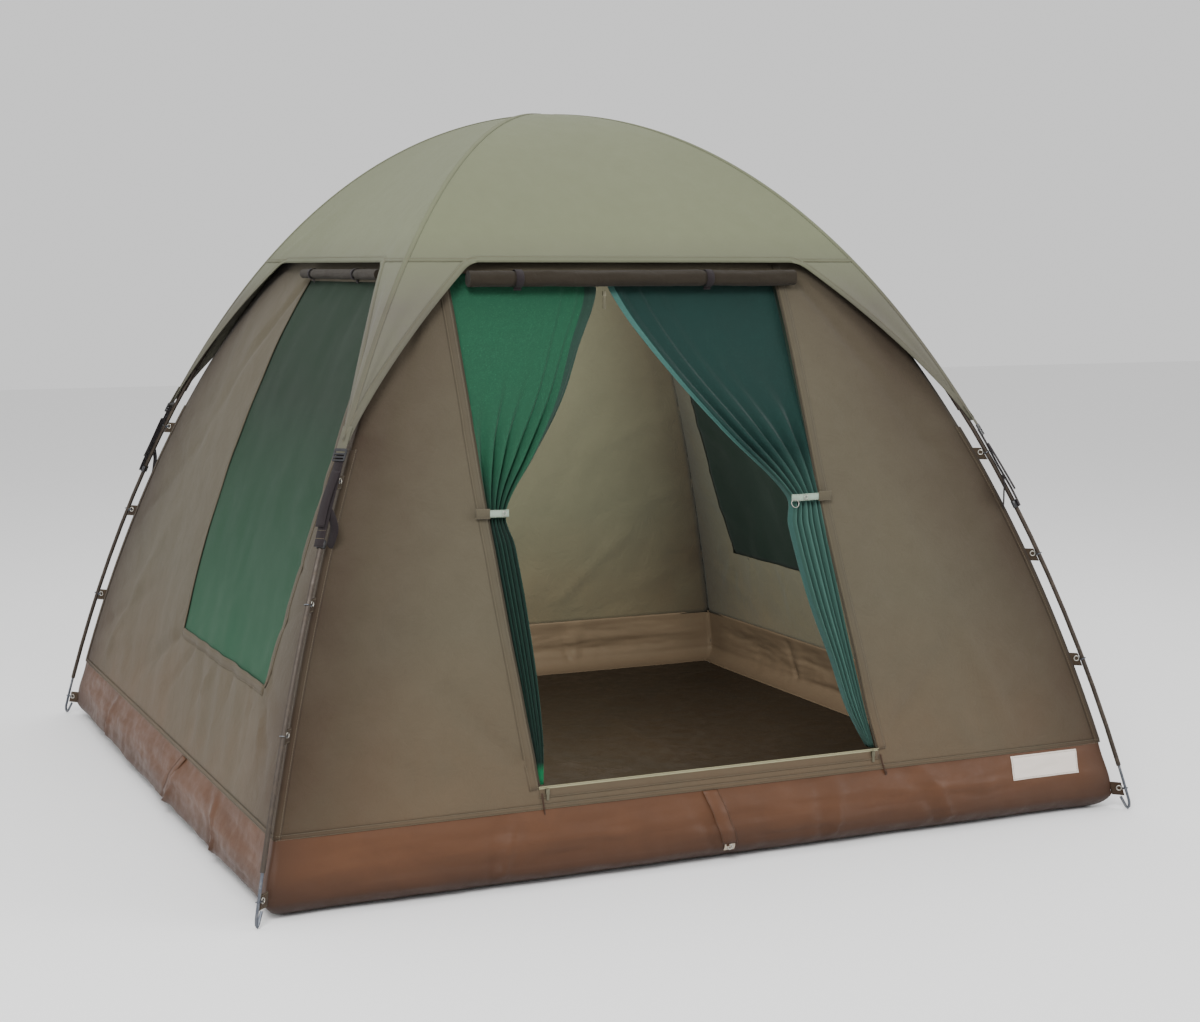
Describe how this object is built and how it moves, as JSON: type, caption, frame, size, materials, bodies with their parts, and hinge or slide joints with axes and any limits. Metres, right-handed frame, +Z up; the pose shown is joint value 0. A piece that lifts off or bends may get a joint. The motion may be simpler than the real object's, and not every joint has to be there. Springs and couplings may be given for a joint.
{
  "type": "bow tent",
  "caption": "Canvas bow tent on a square bucket floor: crossed external bow poles, leaning walls, mesh windows, tied-back door curtains and a strapped-down partial flysheet.",
  "frame": {"origin": "on the ground under the peak, at the middle of the square floor", "axes": "+Z up, -Y out of the door, +X to the right as seen from outside the door"},
  "size_m": [2.4984, 2.4984, 1.959],
  "materials": {
    "groundsheet_pvc": "coated woven ground cloth, soft creases",
    "bucket_pvc": "brown coated cloth with a low satin sheen",
    "wall_canvas": "taupe ripstop canvas",
    "corner_tape_canvas": "folded canvas tape, stitched",
    "fly_canvas": "light khaki proofed canvas",
    "window_mesh": "fine dark green insect mesh",
    "curtain_mesh_green": "fine green insect mesh, gathered",
    "curtain_mesh_teal": "fine dark teal insect mesh, gathered",
    "black_webbing": "flat woven webbing",
    "pale_webbing": "pale cotton webbing",
    "brown_cord": "braided cord",
    "pole_steel": "bronze painted steel tube, worn",
    "pin_steel": "plain steel rod",
    "zip_metal": "cast zip metal",
    "black_plastic": "moulded black plastic"
  },
  "bodies": {
    "tent": {"groundsheet": "groundsheet_pvc", "bucket_front": "bucket_pvc", "bucket_right": "bucket_pvc", "bucket_back": "bucket_pvc", "bucket_left": "bucket_pvc", "back_wall": "wall_canvas", "left_wall": "wall_canvas", "right_wall": "wall_canvas", "front_wall_left": "wall_canvas", "front_wall_right": "wall_canvas", "door_sill_band": "wall_canvas", "front_roof": "wall_canvas", "window_mesh_left": "window_mesh", "window_mesh_right": "window_mesh", "window_roll_left": "wall_canvas", "window_roll_right": "wall_canvas", "door_roll": "wall_canvas", "door_curtain_left": "curtain_mesh_green", "door_curtain_right": "curtain_mesh_teal", "curtain_zip_slider": "zip_metal", "door_cord_left": "brown_cord", "door_cord_right": "brown_cord", "fly_front_panel": "fly_canvas", "fly_right_panel": "fly_canvas", "fly_back_panel": "fly_canvas", "fly_left_panel": "fly_canvas", "fly_leg_front_right": "fly_canvas", "fly_leg_back_right": "fly_canvas", "fly_leg_back_left": "fly_canvas", "fly_leg_front_left": "fly_canvas", "hub": "black_plastic", "pole_upper_front_right": "pole_steel", "pole_lower_front_right": "pole_steel", "corner_pin_front_right": "pin_steel", "pole_upper_back_right": "pole_steel", "pole_lower_back_right": "pole_steel", "corner_pin_back_right": "pin_steel", "pole_upper_back_left": "pole_steel", "pole_lower_back_left": "pole_steel", "corner_pin_back_left": "pin_steel", "pole_upper_front_left": "pole_steel", "pole_lower_front_left": "pole_steel", "corner_pin_front_left": "pin_steel", "corner_tape_front_right": "corner_tape_canvas", "fly_strap_front_right": "black_webbing", "corner_tape_back_right": "corner_tape_canvas", "fly_strap_back_right": "black_webbing", "corner_tape_back_left": "corner_tape_canvas", "fly_strap_back_left": "black_webbing", "corner_tape_front_left": "corner_tape_canvas", "fly_strap_front_left": "black_webbing"},
    "buckle_front_right": {"fly_buckle_front_right": "black_plastic"},
    "buckle_back_right": {"fly_buckle_back_right": "black_plastic"},
    "buckle_back_left": {"fly_buckle_back_left": "black_plastic"},
    "buckle_front_left": {"fly_buckle_front_left": "black_plastic"},
    "tie_back_left": {"tie_back_left": "pale_webbing"},
    "tie_back_right": {"tie_back_right": "pale_webbing"},
    "curtain_pull": {"curtain_zip_pull": "zip_metal"},
    "sill_slider_left": {"sill_zip_slider_left": "zip_metal"},
    "sill_slider_right": {"sill_zip_slider_right": "zip_metal"}
  },
  "joints": [
    {"name": "buckle_tilt_front_right", "type": "hinge", "parent": "tent", "child": "buckle_front_right", "pos_m": [0.92943, -0.92943, 1.06454], "axis": [-0.7071, -0.7071, 0], "range_deg": [0, 50]},
    {"name": "buckle_tilt_back_right", "type": "hinge", "parent": "tent", "child": "buckle_back_right", "pos_m": [0.92943, 0.92943, 1.06454], "axis": [0.7071, -0.7071, 0], "range_deg": [0, 50]},
    {"name": "buckle_tilt_back_left", "type": "hinge", "parent": "tent", "child": "buckle_back_left", "pos_m": [-0.92943, 0.92943, 1.06454], "axis": [0.7071, 0.7071, 0], "range_deg": [0, 50]},
    {"name": "buckle_tilt_front_left", "type": "hinge", "parent": "tent", "child": "buckle_front_left", "pos_m": [-0.92943, -0.92943, 1.06454], "axis": [-0.7071, 0.7071, 0], "range_deg": [0, 50]},
    {"name": "tie_back_swing_left", "type": "hinge", "parent": "tent", "child": "tie_back_left", "pos_m": [-0.595, -0.9682, 0.895], "axis": [0, 0, -1], "range_deg": [0, 100]},
    {"name": "tie_back_swing_right", "type": "hinge", "parent": "tent", "child": "tie_back_right", "pos_m": [0.43, -0.9682, 0.895], "axis": [0, 0, 1], "range_deg": [0, 100]},
    {"name": "curtain_pull_swing", "type": "hinge", "parent": "tent", "child": "curtain_pull", "pos_m": [-0.113, -0.68488, 1.4275], "axis": [1, 0, 0], "range_deg": [-60, 60]},
    {"name": "sill_slider_left_travel", "type": "slide", "parent": "tent", "child": "sill_slider_left", "axis": [1, 0, 0], "range_m": [0, 0.44]},
    {"name": "sill_slider_right_travel", "type": "slide", "parent": "tent", "child": "sill_slider_right", "axis": [-1, 0, 0], "range_m": [0, 0.44]}
  ]
}
